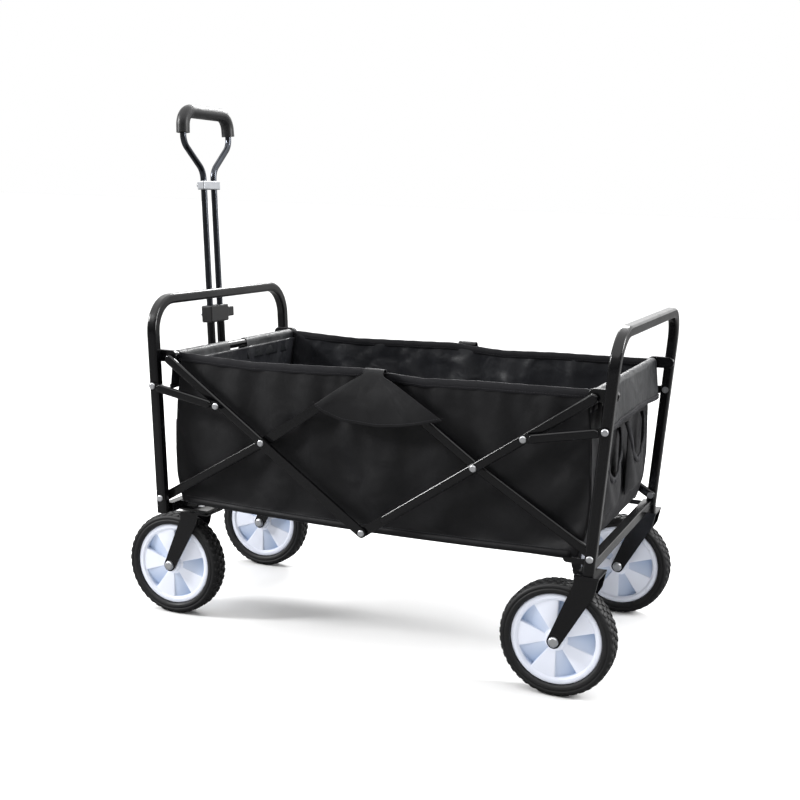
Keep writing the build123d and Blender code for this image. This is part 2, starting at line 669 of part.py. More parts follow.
# front casters
plates = []
for name, sign in (("left", -1), ("right", 1)):
    y = sign * caster_y
    top = (caster_x - caster_fork_half, caster_x + caster_fork_half)
    half = fork_arm_gap + fork_plate
    low, high = (caster_x, y, fork_top_z - cut_over), (caster_x, y, foot_z + cut_over)
    bore = rod(low, high, kingpin_radius + wheel_fit)
    plates.append(solid_of(block(*top, y - half, y + half, fork_top_z, foot_z) - bore))
    arm_end = top[0] + caster_arm_width
    save(f"{name}_caster_fork", fork(*top, arm_end, caster_fork_top_z, caster_hub_x, y, caster_x))
    save(f"{name}_caster_bolts", kingpin(y), bearing_ring(y), axle(caster_hub_x, y))
    place = wheel_place(caster_hub_x, y)
    save(f"{name}_caster_tyre", tyre_shape.moved(place))
    save(f"{name}_caster_rim", rim_shape.moved(place))
save("caster_plates", *plates)

# handle
save("handle_bracket", handle_bracket())
save("handle_pin", handle_pin())
save("handle_outer_tubes", outer_tube(-handle_tube_y), outer_tube(handle_tube_y))
save("handle_clamp", lower_clamp())
save("clamp_lever", clamp_lever())
save("handle_loop", handle_loop())
save("handle_upper_bracket", upper_bracket())
save("handle_grip", *grip_halves())
save("handle_grip_screws", grip_screw(-grip_screw_side), grip_screw(grip_screw_side))

# side fabric and the pull strap
save("side_panel_left", side_panel())
save("side_panel_right", side_panel().mirror(Plane.XZ))
save("centre_flaps", *both_sides(centre_flap()))
strap_z = rail_z + rail_radius + board_gap + board_depth + sleeve_gap
strap_x = board_inner_x + strap_inset
half = strap_width / 2
strap = block(strap_x, strap_x + strap_length, -half, half, strap_z, strap_z + strap_depth)
save("pull_strap", strap)
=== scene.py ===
import json
from math import cos, pi, radians, sin

import bmesh
import bpy
import numpy as np
from mathutils import Matrix, Vector


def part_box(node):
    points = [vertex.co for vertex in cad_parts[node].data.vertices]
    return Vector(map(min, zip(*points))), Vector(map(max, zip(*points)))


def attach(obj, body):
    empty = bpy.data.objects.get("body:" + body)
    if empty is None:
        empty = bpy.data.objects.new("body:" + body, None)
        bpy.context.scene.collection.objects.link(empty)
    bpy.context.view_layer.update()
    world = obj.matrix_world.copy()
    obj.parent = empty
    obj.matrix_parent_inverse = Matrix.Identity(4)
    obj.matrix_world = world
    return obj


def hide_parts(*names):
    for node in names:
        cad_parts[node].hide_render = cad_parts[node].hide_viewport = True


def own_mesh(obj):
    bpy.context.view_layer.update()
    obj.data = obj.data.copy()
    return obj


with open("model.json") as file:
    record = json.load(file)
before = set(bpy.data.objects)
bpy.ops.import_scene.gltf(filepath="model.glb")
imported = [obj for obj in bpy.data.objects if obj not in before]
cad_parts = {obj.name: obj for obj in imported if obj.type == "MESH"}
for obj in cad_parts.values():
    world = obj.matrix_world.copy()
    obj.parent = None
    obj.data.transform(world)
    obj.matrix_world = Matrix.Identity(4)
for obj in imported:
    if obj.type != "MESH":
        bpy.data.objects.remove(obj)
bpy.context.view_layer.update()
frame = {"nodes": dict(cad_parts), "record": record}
scene = bpy.context.scene
mm = 0.001
print("stage: frame loaded,", len(frame["nodes"]), "nodes")

# places that the pieces share, read from the frame
sideLow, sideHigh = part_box("side_panel_left")
middleX = (sideLow[0] + sideHigh[0]) / 2
panelY = -sideHigh[1]
rimLow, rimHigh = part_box("rear_rim_tube")
rimX = (rimLow[0] + rimHigh[0]) / 2 - middleX
rimZ = (rimLow[2] + rimHigh[2]) / 2
rimRadius = (rimHigh[2] - rimLow[2]) / 2
joints = {joint["name"]: joint for joint in frame["record"]["behaviour"]["joints"]}


def linear(code):
    parts = [int(code[i:i + 2], 16) / 255 for i in (1, 3, 5)]
    return [c / 12.92 if c <= 0.04045 else ((c + 0.055) / 1.055) ** 2.4 for c in parts] + [1.0]


def add(tree, kind, inputs=None, **settings):
    made = tree.nodes.new(kind)
    for name, value in settings.items():
        setattr(made, name, value)
    for socket, value in (inputs or {}).items():
        if isinstance(value, bpy.types.NodeSocket):
            tree.links.new(value, made.inputs[socket])
        else:
            made.inputs[socket].default_value = value
    return made


def startMaterial(name, shader):
    material = bpy.data.materials.new(name)
    material.use_nodes = True
    tree = material.node_tree
    tree.nodes.clear()
    surface = add(tree, "ShaderNodeBsdfPrincipled", shader)
    output = add(tree, "ShaderNodeOutputMaterial", {"Surface": surface.outputs["BSDF"]})
    output.location = (300, 0)
    return material, tree, surface


def twoTone(tree, factor, dark, light):
    return add(tree, "ShaderNodeMix", {"Factor": factor, "A": linear(dark), "B": linear(light)},
               data_type="RGBA")


def spread(tree, value, low, high, fromLow=0.0, fromHigh=1.0):
    inputs = {"Value": value, "From Min": fromLow, "From Max": fromHigh, "To Min": low, "To Max": high}
    return add(tree, "ShaderNodeMapRange", inputs).outputs["Result"]


# hard finishes
coatLook = {"orangePeel": 1.6, "grime": 60.0, "dark": "#040405",
            "light": "#0a0a0c"}      # millimetres and colours


def powderCoat():
    # gloss black powder coat, sprayed and baked: a deep black with a faint orange peel that breaks up highlights
    material, tree, surface = startMaterial("powderCoat", {"IOR": 1.5, "Specular IOR Level": 0.42})
    where = add(tree, "ShaderNodeTexCoord").outputs["Object"]
    peel = add(tree, "ShaderNodeTexNoise",
               {"Vector": where, "Scale": 1 / (coatLook["orangePeel"] * mm), "Detail": 2.0})
    grime = add(tree, "ShaderNodeTexNoise",
                {"Vector": where, "Scale": 1 / (coatLook["grime"] * mm), "Detail": 5.0})
    tone = twoTone(tree, grime.outputs["Fac"], coatLook["dark"], coatLook["light"])
    bump = add(tree, "ShaderNodeBump", {"Height": peel.outputs["Fac"], "Strength": 0.10, "Distance": 0.4 * mm})
    tree.links.new(tone.outputs["Result"], surface.inputs["Base Color"])
    tree.links.new(spread(tree, grime.outputs["Fac"], 0.13, 0.24, 0.3, 0.7), surface.inputs["Roughness"])
    tree.links.new(bump.outputs["Normal"], surface.inputs["Normal"])
    return material


def brushedMetal(name, dark, light, rough, grain):
    # rolled or drawn metal: fine lines along the part, drawn coarser than real so they show
    material, tree, surface = startMaterial(name, {"Metallic": 1.0})
    where = add(tree, "ShaderNodeTexCoord").outputs["Object"]
    squeezed = add(tree, "ShaderNodeMapping", {"Vector": where, "Scale": (1.0, 1.0, 0.06)})
    lines = add(tree, "ShaderNodeTexNoise",
                {"Vector": squeezed.outputs["Vector"], "Scale": 1 / (grain * mm), "Detail": 3.0})
    cloud = add(tree, "ShaderNodeTexNoise", {"Vector": where, "Scale": 45.0, "Detail": 3.0})
    tone = twoTone(tree, cloud.outputs["Fac"], dark, light)
    bump = add(tree, "ShaderNodeBump",
               {"Height": lines.outputs["Fac"], "Strength": 0.12, "Distance": 0.15 * mm})
    tree.links.new(tone.outputs["Result"], surface.inputs["Base Color"])
    tree.links.new(spread(tree, lines.outputs["Fac"], rough * 0.8, rough * 1.3), surface.inputs["Roughness"])
    tree.links.new(bump.outputs["Normal"], surface.inputs["Normal"])
    return material


def mouldedPolymer(name, dark, light, rough, grain, depth, ior=1.5, pocketShade=None):
    # injection moulded: an even fine spark-eroded grain, with soft cloudy changes in gloss
    material, tree, surface = startMaterial(name, {"IOR": ior})
    where = add(tree, "ShaderNodeTexCoord").outputs["Object"]
    fine = add(tree, "ShaderNodeTexNoise", {"Vector": where, "Scale": 1 / (grain * mm), "Detail": 2.0})
    cloud = add(tree, "ShaderNodeTexNoise", {"Vector": where, "Scale": 30.0, "Detail": 4.0})
    tone = twoTone(tree, cloud.outputs["Fac"], dark, light).outputs["Result"]
    # painted shade: the point attribute mixes the tone towards the given blue-grey shade colour, more in deeper
    # rim pockets
    if pocketShade:
        pocketShadeAmount = add(tree, "ShaderNodeAttribute", attribute_name="pocketShade").outputs["Fac"]
        tone = add(tree, "ShaderNodeMix", {"Factor": pocketShadeAmount, "A": tone, "B": linear(pocketShade)}, data_type="RGBA")
        tone = tone.outputs["Result"]
    bump = add(tree, "ShaderNodeBump",
               {"Height": fine.outputs["Fac"], "Strength": 0.25, "Distance": depth * mm})
    tree.links.new(tone, surface.inputs["Base Color"])
    tree.links.new(spread(tree, cloud.outputs["Fac"], rough * 0.85, rough * 1.2, 0.3, 0.7),
                   surface.inputs["Roughness"])
    tree.links.new(bump.outputs["Normal"], surface.inputs["Normal"])
    return material


# cloth finishes
clothLook = {"thread": 1.5, "lint": 4.0}        # millimetres; the thread is drawn double size


def wovenCloth(name, dark, light, rough, gloss, sheen, weaveDepth, crumple, crumpleDepth, ribbed=False):
    # woven polyester: over-and-under threads, light catching the crowns (painted into the colour as a highlight as
    # well as bumped), soft handling creases
    shader = {"IOR": 1.5, "Specular IOR Level": gloss, "Sheen Weight": sheen, "Sheen Roughness": 0.4,
              "Sheen Tint": linear("#c8c8d2")}
    material, tree, surface = startMaterial(name, shader)
    where = add(tree, "ShaderNodeTexCoord").outputs
    waveScale = pi / (10 * clothLook["thread"] * mm)             # a wave texture repeats every 2 pi / (20 x scale)
    warp = add(tree, "ShaderNodeTexWave", {"Vector": where["UV"], "Scale": waveScale}, bands_direction="X")
    weft = add(tree, "ShaderNodeTexWave", {"Vector": where["UV"], "Scale": waveScale}, bands_direction="Y")
    crossing = add(tree, "ShaderNodeMath", {0: warp.outputs["Fac"], 1: weft.outputs["Fac"]},
                   operation="MAXIMUM" if ribbed else "MULTIPLY")
    creases = add(tree, "ShaderNodeTexNoise",
                  {"Vector": where["Object"], "Scale": 1 / (crumple * mm), "Detail": 1.6,
                                               "Roughness": 0.4, "Distortion": 0.35})
    lint = add(tree, "ShaderNodeTexNoise",
               {"Vector": where["Object"], "Scale": 1 / (clothLook["lint"] * mm), "Detail": 4.0})
    # painted highlight: the colour is lighter on the thread crowns, mottled by lint noise
    shade = add(tree, "ShaderNodeMath", {0: crossing.outputs[0], 1: lint.outputs["Fac"]}, operation="MULTIPLY")
    tone = twoTone(tree, shade.outputs[0], dark, light)
    weaveBump = add(tree, "ShaderNodeBump",
                    {"Height": crossing.outputs[0], "Strength": 0.6, "Distance": weaveDepth * mm})
    bump = add(tree, "ShaderNodeBump", {"Height": creases.outputs["Fac"], "Strength": 0.8,
                                        "Distance": crumpleDepth * mm, "Normal": weaveBump.outputs["Normal"]})
    tree.links.new(tone.outputs["Result"], surface.inputs["Base Color"])
    tree.links.new(spread(tree, creases.outputs["Fac"], rough * 0.85, rough * 1.15, 0.3, 0.7),
                   surface.inputs["Roughness"])
    tree.links.new(bump.outputs["Normal"], surface.inputs["Normal"])
    return material


finish = {
    "coat": powderCoat(),
    "zinc": brushedMetal("zincPlate", "#d3d5d9", "#f0f1f3", 0.34, 0.6),
    "plate": brushedMetal("galvanisedPlate", "#a8abb0", "#cfd1d5", 0.4, 0.8),
    "tube": brushedMetal("smokedChrome", "#3a3c41", "#55585e", 0.22, 0.5),
    "nylon": mouldedPolymer("mouldedNylon", "#0a0a0b", "#141416", 0.42, 0.9, 0.25),
    "rubber": mouldedPolymer("mouldedRubber", "#08080a", "#121214", 0.58, 1.1, 0.35, 1.52),
    # the rim's last colour is a painted shade, blue-grey, for its hollow pockets
    "rim": mouldedPolymer("mouldedPolypropylene", "#cdd1dd", "#d6dae5", 0.34, 1.2, 0.08, 1.49, "#8fa2c0"),
    "outside": wovenCloth("oxfordCloth", "#08080a", "#1a1a20", 0.56, 0.30, 0.04, 0.3, 48.0, 5.0),
    # the lining is a grey coated cloth, and its colours are raised partly as painted reflection
    "inside": wovenCloth("coatedClothPaintedReflection", "#1a1b1e", "#35363b", 0.34, 0.6, 0.02, 0.12, 42.0, 9.0),
    # the flap cloth is coated and shinier, and its colours are set lighter as painted sheen
    "flap": wovenCloth("flapClothPaintedSheen", "#111315", "#26282c", 0.36, 0.5, 0.03, 0.2, 40.0, 6.0),
    "tape": wovenCloth("grosgrainTape", "#101013", "#222226", 0.6, 0.22, 0.05, 0.3, 30.0, 0.6, True),
    "pad": wovenCloth("padCloth", "#0c0c0f", "#1e1e23", 0.6, 0.25, 0.04, 0.3, 40.0, 2.5),
    "label": wovenCloth("satinLabel", "#c9c9cb", "#e6e6e8", 0.5, 0.4, 0.1, 0.1, 20.0, 0.5),
    "thread": mouldedPolymer("polyesterThread", "#1b1b1f", "#2b2b30", 0.6, 0.4, 0.1),
}
print("stage: materials")

nodeFinish = {"handle_loop": "tube", "handle_upper_bracket": "plate", "handle_clamp": "nylon",
              "clamp_lever": "nylon",
              "handle_grip": "nylon", "rear_brackets": "coat", "front_brackets": "coat"}
slotFinish = {"black_frame": "coat", "fastener_steel": "zinc", "tyre_rubber": "rubber", "rim_plastic": "rim",
              "basket_fabric": "outside", "floor_pad": "pad", "black_plastic": "nylon"}
slotOf = {part["node"]: part["material_slot"] for part in frame["record"]["subparts"]}
for nodeName, holder in frame["nodes"].items():
    chosen = finish[nodeFinish.get(nodeName, slotFinish[slotOf[nodeName]])]
    if holder.material_slots:
        for place in holder.material_slots:
            place.material = chosen
    else:
        holder.data.materials.append(chosen)


# making meshes
def meshPiece(name, points, faces, materials, uv=None):
    mesh = bpy.data.meshes.new(name)
    mesh.from_pydata([tuple(p) for p in points], [], faces)
    for material in materials:
        mesh.materials.append(material)
    if uv is not None:
        layer = mesh.uv_layers.new(name="clothUV")
        loops = np.zeros(len(mesh.loops), dtype=np.int32)
        mesh.loops.foreach_get("vertex_index", loops)
        layer.data.foreach_set("uv", np.asarray(uv, dtype=np.float32)[loops].ravel())
    mesh.shade_smooth()
    piece = bpy.data.objects.new(name, mesh)
    scene.collection.objects.link(piece)
    return piece


def gridPiece(name, rows, materials):
    # rows is an array of (across, along, 3) points; its UV map is in metres of cloth
    down, along = rows.shape[:2]
    number = np.arange(down * along).reshape(down, along)
    faces = [(number[i, j], number[i, j + 1], number[i + 1, j + 1], number[i + 1, j])
             for i in range(down - 1) for j in range(along - 1)]
    stepU = np.linalg.norm(np.diff(rows, axis=1), axis=2).mean(axis=0)
    stepV = np.linalg.norm(np.diff(rows, axis=0), axis=2).mean(axis=1)
    u, v = np.concatenate([[0], np.cumsum(stepU)]), np.concatenate([[0], np.cumsum(stepV)])
    uv = np.stack(np.meshgrid(u, v), axis=2).reshape(-1, 2)
    return meshPiece(name, rows.reshape(-1, 3), faces, materials, uv)


def bake(piece):
    graph = bpy.context.evaluated_depsgraph_get()
    graph.update()
    made = bpy.data.meshes.new_from_object(piece.evaluated_get(graph), depsgraph=graph)
    piece.modifiers.clear()
    piece.data = made
    made.name = piece.name
    return piece


def thicken(piece, thickness, outward=-1.0, inside=0, levels=1, crease=0.0):
    # gives a sheet its thickness, with the other face in its own material
    if levels:
        smooth = piece.modifiers.new("smooth", "SUBSURF")
        smooth.levels = smooth.render_levels = levels
    wall = piece.modifiers.new("wall", "SOLIDIFY")
    wall.thickness = thickness
    wall.offset = outward
    wall.material_offset = inside
    wall.use_quality_normals = True
    return bake(piece)


def points(piece):
    data = np.zeros(len(piece.data.vertices) * 3)
    piece.data.vertices.foreach_get("co", data)
    return data.reshape(-1, 3)


def place(piece, data):
    piece.data.vertices.foreach_set("co", data.ravel())
    piece.data.update()


def settle(piece, pinned, frames, slack, cap, bending):
    # cloth simulation from the cut shape, with how far a point may move softly capped
    before = points(piece)
    group = piece.vertex_groups.new(name="pinned")
    group.add([int(i) for i in pinned], 1.0, "REPLACE")
    cloth = piece.modifiers.new("cloth", "CLOTH")
    made = cloth.settings
    made.quality, made.mass, made.air_damping = 6, 0.25, 2.0
    made.tension_stiffness = made.compression_stiffness = 12.0
    made.shear_stiffness, made.bending_stiffness = 4.0, bending
    made.vertex_group_mass = "pinned"
    made.shrink_min = -slack
    cloth.collision_settings.use_collision = False
    cloth.collision_settings.use_self_collision = False
    cloth.point_cache.frame_start, cloth.point_cache.frame_end = 1, frames
    for step in range(1, frames + 1):
        scene.frame_set(step)
    graph = bpy.context.evaluated_depsgraph_get()
    after = np.zeros(len(before) * 3)
    piece.evaluated_get(graph).data.vertices.foreach_get("co", after)
    piece.modifiers.clear()
    piece.vertex_groups.clear()
    scene.frame_set(1)
    moved = after.reshape(-1, 3) - before
    far = np.linalg.norm(moved, axis=1, keepdims=True) + 1e-9
    place(piece, before + moved / far * cap * np.tanh(far / cap))


def sweepPiece(name, path, section, material, closedEnds=True):
    # section is a closed outline of (across, up) offsets, carried along path on its sideways and up directions
    path = np.asarray(path, dtype=float)
    tangent = np.gradient(path, axis=0)
    tangent /= np.linalg.norm(tangent, axis=1, keepdims=True)
    across = np.cross(tangent, (0, 0, 1.0))
    across /= np.linalg.norm(across, axis=1, keepdims=True)
    up = np.cross(across, tangent)
    rows = np.array([[p + a * s[0] + u * s[1] for s in section] for p, a, u in zip(path, across, up)])
    count, size = rows.shape[:2]
    number = np.arange(count * size).reshape(count, size)
    faces = [(number[i, j], number[i + 1, j], number[i + 1, (j + 1) % size], number[i, (j + 1) % size])
             for i in range(count - 1) for j in range(size)]
    if closedEnds:
        faces += [tuple(number[0]), tuple(number[-1][::-1])]
    run = np.concatenate([[0], np.cumsum(np.linalg.norm(np.diff(path, axis=0), axis=1))])
    ring = np.concatenate([[0], np.cumsum([
        np.hypot(*(np.subtract(section[j], section[j - 1]))) for j in range(1, size)])])
    uv = np.array([[r, q] for r in run for q in ring])
    piece = meshPiece(name, rows.reshape(-1, 3), faces, [material], uv)
    fixNormals(piece)
    return piece


def fixNormals(piece):
    build = bmesh.new()
    build.from_mesh(piece.data)
    bmesh.ops.recalc_face_normals(build, faces=build.faces)
    build.to_mesh(piece.data)
    build.free()


def wave(values, length, phase=0.0):
    return np.sin(2 * pi * values / length + phase)


def carry(piece, body, squashed=False):
    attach(piece, body)
    if squashed:
        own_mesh(piece)
    return piece


# stitches, laid along a line by Geometry Nodes
stitchSize = {"pitch": 5.0, "length": 3.4,
              "radius": 0.45}       # millimetres; the thread is drawn thicker than real


def stitchTree():
    tree = bpy.data.node_groups.new("stitchRow", "GeometryNodeTree")
    face = tree.interface
    face.new_socket("Line", in_out="INPUT", socket_type="NodeSocketGeometry")
    for name in ("Pitch", "Length", "Radius"):
        face.new_socket(name, in_out="INPUT", socket_type="NodeSocketFloat")
    face.new_socket("Thread", in_out="INPUT", socket_type="NodeSocketMaterial")
    face.new_socket("Stitches", in_out="OUTPUT", socket_type="NodeSocketGeometry")
    given = add(tree, "NodeGroupInput").outputs
    line = add(tree, "GeometryNodeMeshToCurve", {"Mesh": given["Line"]})
    marks = add(tree, "GeometryNodeResampleCurve", {"Curve": line.outputs["Curve"], "Length": given["Pitch"]},
                mode="LENGTH")
    tangent = add(tree, "GeometryNodeInputTangent")
    turn = add(tree, "FunctionNodeAlignRotationToVector", {"Vector": tangent.outputs["Tangent"]}, axis="X")
    ball = add(tree, "GeometryNodeMeshUVSphere", {"Segments": 6, "Rings": 5, "Radius": 1.0})
    size = add(tree, "ShaderNodeCombineXYZ", {"X": given["Length"], "Y": given["Radius"], "Z": given["Radius"]})
    laid = add(tree, "GeometryNodeInstanceOnPoints",
               {"Points": marks.outputs["Curve"], "Instance": ball.outputs["Mesh"],
                                                      "Rotation": turn.outputs["Rotation"],
                "Scale": size.outputs["Vector"]})
    real = add(tree, "GeometryNodeRealizeInstances", {"Geometry": laid.outputs["Instances"]})
    dyed = add(tree, "GeometryNodeSetMaterial",
               {"Geometry": real.outputs["Geometry"], "Material": given["Thread"]})
    add(tree, "NodeGroupOutput", {"Stitches": dyed.outputs["Geometry"]})
    return tree


def runTree(name, base, tree, values):
    made = base.modifiers.new("layout", "NODES")
    made.node_group = tree
    for item in tree.interface.items_tree:
        if item.in_out == "INPUT" and item.name in values:
            made[item.identifier] = values[item.name]
    bake(base)
    base.name = base.data.name = name
    base.data.shade_smooth()
    return base


stitches = stitchTree()


def stitchRow(name, lines):
    spots, edges = [], []
    for line in lines:
        edges += [(len(spots) + i, len(spots) + i + 1) for i in range(len(line) - 1)]
        spots += [tuple(p) for p in line]
    mesh = bpy.data.meshes.new(name)
    mesh.from_pydata(spots, edges, [])
    base = bpy.data.objects.new(name, mesh)
    scene.collection.objects.link(base)
    size = stitchSize
    return runTree(name, base, stitches, {"Pitch": size["pitch"] * mm, "Length": size["length"] / 2 * mm,
                                          "Radius": size["radius"] * mm, "Thread": finish["thread"]})


# wheels
wheelSize = {"pockets": 5, "lugs": 42, "lugHigh": 2.2, "lugLong": 9.0, "lugWide": 8.4, "shoulderTilt": 0.34,
             "treadRadius": 98.0, "segments": 120, "pocketTurn": 17.5, "web": 13.0}
tyreOutline = [(79.2, 17), (80.4, 19.3), (83, 20.5), (86, 20.9), (87.6, 20.8), (88.2, 19.9), (89.6, 19.9),
               (90.2, 20.6),
               (93.0, 20.2), (95.6, 18.6), (97.2, 15.8), (97.9, 11.5), (98.0, 9.3), (97.2, 8.9), (97.2, 8.3),
               (98.0, 7.9),
               (98.0, 0.9), (97.2, 0.5)]
rimRings = [6.4, 10, 13.4, 15.0, 15.9, 16.5, 18.2, 20.0, 21.0, 24, 27, 31, 35, 40, 45, 50, 55, 59, 62.5, 65.0,
            66.6,
            67.4, 68.2, 69.4, 70.6, 73, 76.4, 78.2, 79]
rimHeights = {6.4: 22.2, 10: 22.6, 13.4: 22.6, 15.0: 22.0, 15.9: 20.4, 16.5: 14.4, 18.2: 13.1, 68.2: 13.4,
              69.4: 14.8,
              70.6: 15.8, 73: 16.0, 76.4: 15.9, 78.2: 15.0, 79: 13.2}
pocketColumns = [-1.0, -0.9, -0.6, -0.3, 0.0, 0.3, 0.6, 0.9, 1.0]
panelColumns = [0.2, 0.4, 0.6, 0.8]


def lathe(name, outline, count, material):
    rows = np.array([[(r * cos(a), r * sin(a), z) for r, z in outline]
                     for a in np.linspace(0, 2 * pi, count, endpoint=False)]) * mm
    size = len(outline)
    faces = [(i * size + j, (i + 1) % count * size + j, (i + 1) % count * size + (j + 1) % size,
              i * size + (j + 1) % size)
             for i in range(count) for j in range(size)]
    piece = meshPiece(name, rows.reshape(-1, 3), faces, [material])
    fixNormals(piece)
    return piece


def lugTree():
    tree = bpy.data.node_groups.new("treadLugs", "GeometryNodeTree")
    face = tree.interface
    face.new_socket("Base", in_out="INPUT", socket_type="NodeSocketGeometry")
    face.new_socket("Count", in_out="INPUT", socket_type="NodeSocketInt")
    for name in ("Radius", "High", "Long", "Wide", "Offset", "Tilt", "Turn"):
        face.new_socket(name, in_out="INPUT", socket_type="NodeSocketFloat")
    face.new_socket("Rubber", in_out="INPUT", socket_type="NodeSocketMaterial")
    face.new_socket("Lugs", in_out="OUTPUT", socket_type="NodeSocketGeometry")
    given = add(tree, "NodeGroupInput").outputs
    ring = add(tree, "GeometryNodeMeshCircle", {"Vertices": given["Count"], "Radius": given["Radius"]})
    shift = add(tree, "ShaderNodeCombineXYZ", {"Z": given["Offset"]})
    moved = add(tree, "GeometryNodeTransform",
                {"Geometry": ring.outputs["Mesh"], "Translation": shift.outputs["Vector"]})
    size = add(tree, "ShaderNodeCombineXYZ", {"X": given["High"], "Y": given["Long"], "Z": given["Wide"]})
    block = add(tree, "GeometryNodeMeshCube", {"Size": size.outputs["Vector"]})
    normal = add(tree, "GeometryNodeInputNormal")
    parts = add(tree, "ShaderNodeSeparateXYZ", {"Vector": normal.outputs["Normal"]})
    top = add(tree, "FunctionNodeCompare", {"A": parts.outputs["X"], "B": 0.5}, operation="GREATER_THAN")
    raised = add(tree, "GeometryNodeExtrudeMesh",
                 {"Mesh": block.outputs["Mesh"], "Selection": top.outputs["Result"],
                                                   "Offset Scale": 0.8 * mm})
    tapered = add(tree, "GeometryNodeScaleElements", {"Geometry": raised.outputs["Mesh"],
                                                      "Selection": raised.outputs["Top"], "Scale": 0.78})
    spin = add(tree, "ShaderNodeMath", {0: 2 * pi, 1: given["Count"]}, operation="DIVIDE")
    index = add(tree, "GeometryNodeInputIndex")
    angle = add(tree, "ShaderNodeMath", {0: index.outputs["Index"], 1: spin.outputs[0]}, operation="MULTIPLY")
    turned = add(tree, "ShaderNodeCombineXYZ", {"X": given["Turn"], "Y": given["Tilt"], "Z": angle.outputs[0]})
    laid = add(tree, "GeometryNodeInstanceOnPoints", {"Points": moved.outputs["Geometry"],
                                                      "Instance": tapered.outputs["Geometry"],
                                                      "Rotation": turned.outputs["Vector"]})
    real = add(tree, "GeometryNodeRealizeInstances", {"Geometry": laid.outputs["Instances"]})
    dyed = add(tree, "GeometryNodeSetMaterial",
               {"Geometry": real.outputs["Geometry"], "Material": given["Rubber"]})
    add(tree, "NodeGroupOutput", {"Lugs": dyed.outputs["Geometry"]})
    return tree


lugs = lugTree()


def merge(name, pieces):
    build = bmesh.new()
    for piece in pieces:
        build.from_mesh(piece.data)
    mesh = bpy.data.meshes.new(name)
    build.to_mesh(mesh)
    build.free()
    for material in pieces[0].data.materials:
        mesh.materials.append(material)
    for piece in pieces:
        bpy.data.objects.remove(piece)
    mesh.shade_smooth()
    made = bpy.data.objects.new(name, mesh)
    scene.collection.objects.link(made)
    return made


def tyre():
    outline = [(r, z) for r, z in tyreOutline] + [(r, -z) for r, z in reversed(tyreOutline)]
    pieces = [lathe("tyreCarcass", outline, wheelSize["segments"], finish["rubber"])]
    size = wheelSize
    for offset, tilt, turn, half in ((13.6, -1, 0.28, 0), (4.6, 0, -0.35, 1), (-4.6, 0, 0.35, 0),
                                     (-13.6, 1, -0.28, 1)):
        base = bpy.data.objects.new("lugs", bpy.data.meshes.new("lugs"))
        scene.collection.objects.link(base)
        depth = size["treadRadius"] - (1.0 if tilt else 0.0)
        ring = runTree("lugs", base, lugs, {
            "Count": size["lugs"], "Radius": depth * mm, "High": size["lugHigh"] * mm,
                                            "Long": size["lugLong"] * mm,
            "Wide": size["lugWide"] * mm, "Offset": offset * mm, "Tilt": tilt * size["shoulderTilt"],
                                            "Turn": turn,
            "Rubber": finish["rubber"]})
        ring.data.transform(Matrix.Rotation(half * pi / size["lugs"], 4, "Z"))
        pieces.append(ring)
    return merge("tyre", pieces)


def rimFace(sign):
    heightAt = lambda r: rimHeights.get(r, wheelSize["web"])
    rows, pocketShadeAmount = [], []
    for r in rimRings:
        spreadAngle = radians(wheelSize["pocketTurn"])
        row, mark = [], []
        for n in range(wheelSize["pockets"]):
            centre = n * 2 * pi / wheelSize["pockets"]
            half = pi / wheelSize["pockets"]
            inPocket = 20.5 < r < 67.0
            for u in pocketColumns:
                slope = 0.3 + 0.7 * (u + 0.9) / 1.8                 # each pocket is deepest along one edge
                depth = (1.5 + 7.5 * (r - 20) / 47) * slope if inPocket and abs(u) < 0.95 else 0.0
                angle = centre + u * spreadAngle
                row.append((r * cos(angle), r * sin(angle), sign * (heightAt(r) - depth)))
                # painted shade amount for each point: pocket floors get the shade colour, more where deeper
                mark.append(0.45 + depth / 16 if depth else 0.0)
            for u in panelColumns:
                angle = centre + spreadAngle + u * (2 * half - 2 * spreadAngle)
                row.append((r * cos(angle), r * sin(angle), sign * heightAt(r)))
                mark.append(0.0)
        rows.append(row)
        pocketShadeAmount.append(mark)
    return np.array(rows) * mm, np.array(pocketShadeAmount)


def rim():
    upper, pocketShadeAmount = rimFace(1)
    lower, _ = rimFace(-1)
    rings = np.concatenate([upper, lower[::-1]])
    pocketShadeAmount = np.concatenate([pocketShadeAmount, pocketShadeAmount[::-1]])
    count, size = rings.shape[:2]
    faces = [(i * size + j, (i + 1) % count * size + j, (i + 1) % count * size + (j + 1) % size,
              i * size + (j + 1) % size)
             for i in range(count) for j in range(size)]
    piece = meshPiece("rim", rings.reshape(-1, 3), faces, [finish["rim"]])
    # the painted shade amounts, stored on the points for the rim material
    layer = piece.data.attributes.new("pocketShade", "FLOAT", "POINT")
    layer.data.foreach_set("value", pocketShadeAmount.ravel().astype(np.float32))
    fixNormals(piece)
    soft = piece.modifiers.new("soft", "BEVEL")
    soft.width, soft.segments, soft.limit_method, soft.angle_limit = 0.5 * mm, 2, "ANGLE", radians(28)
    return bake(piece)


tyreMade, rimMade = tyre(), rim()
print("stage: wheel made,", len(tyreMade.data.polygons), len(rimMade.data.polygons))
for corner, body in (("rear_left", "rear_left_wheel"), ("rear_right", "rear_right_wheel"),
                     ("left_caster", "left_caster_wheel"), ("right_caster", "right_caster_wheel")):
    low, high = (Vector(v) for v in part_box(corner + "_tyre"))
    shift = Matrix.Translation((low + high) / 2) @ Matrix.Rotation(pi / 2, 4, "X")
    for made, kind, slot in ((tyreMade, "tyre", "tyre_rubber"), (rimMade, "rim", "rim_plastic")):
        mesh = made.data.copy()
        mesh.transform(shift)
        piece = bpy.data.objects.new(f"{corner}{kind.capitalize()}", mesh)
        mesh.name = piece.name
        scene.collection.objects.link(piece)
        carry(piece, body)
        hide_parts(f"{corner}_{kind}")
for made in (tyreMade, rimMade):
    bpy.data.objects.remove(made)
print("stage: wheels placed")

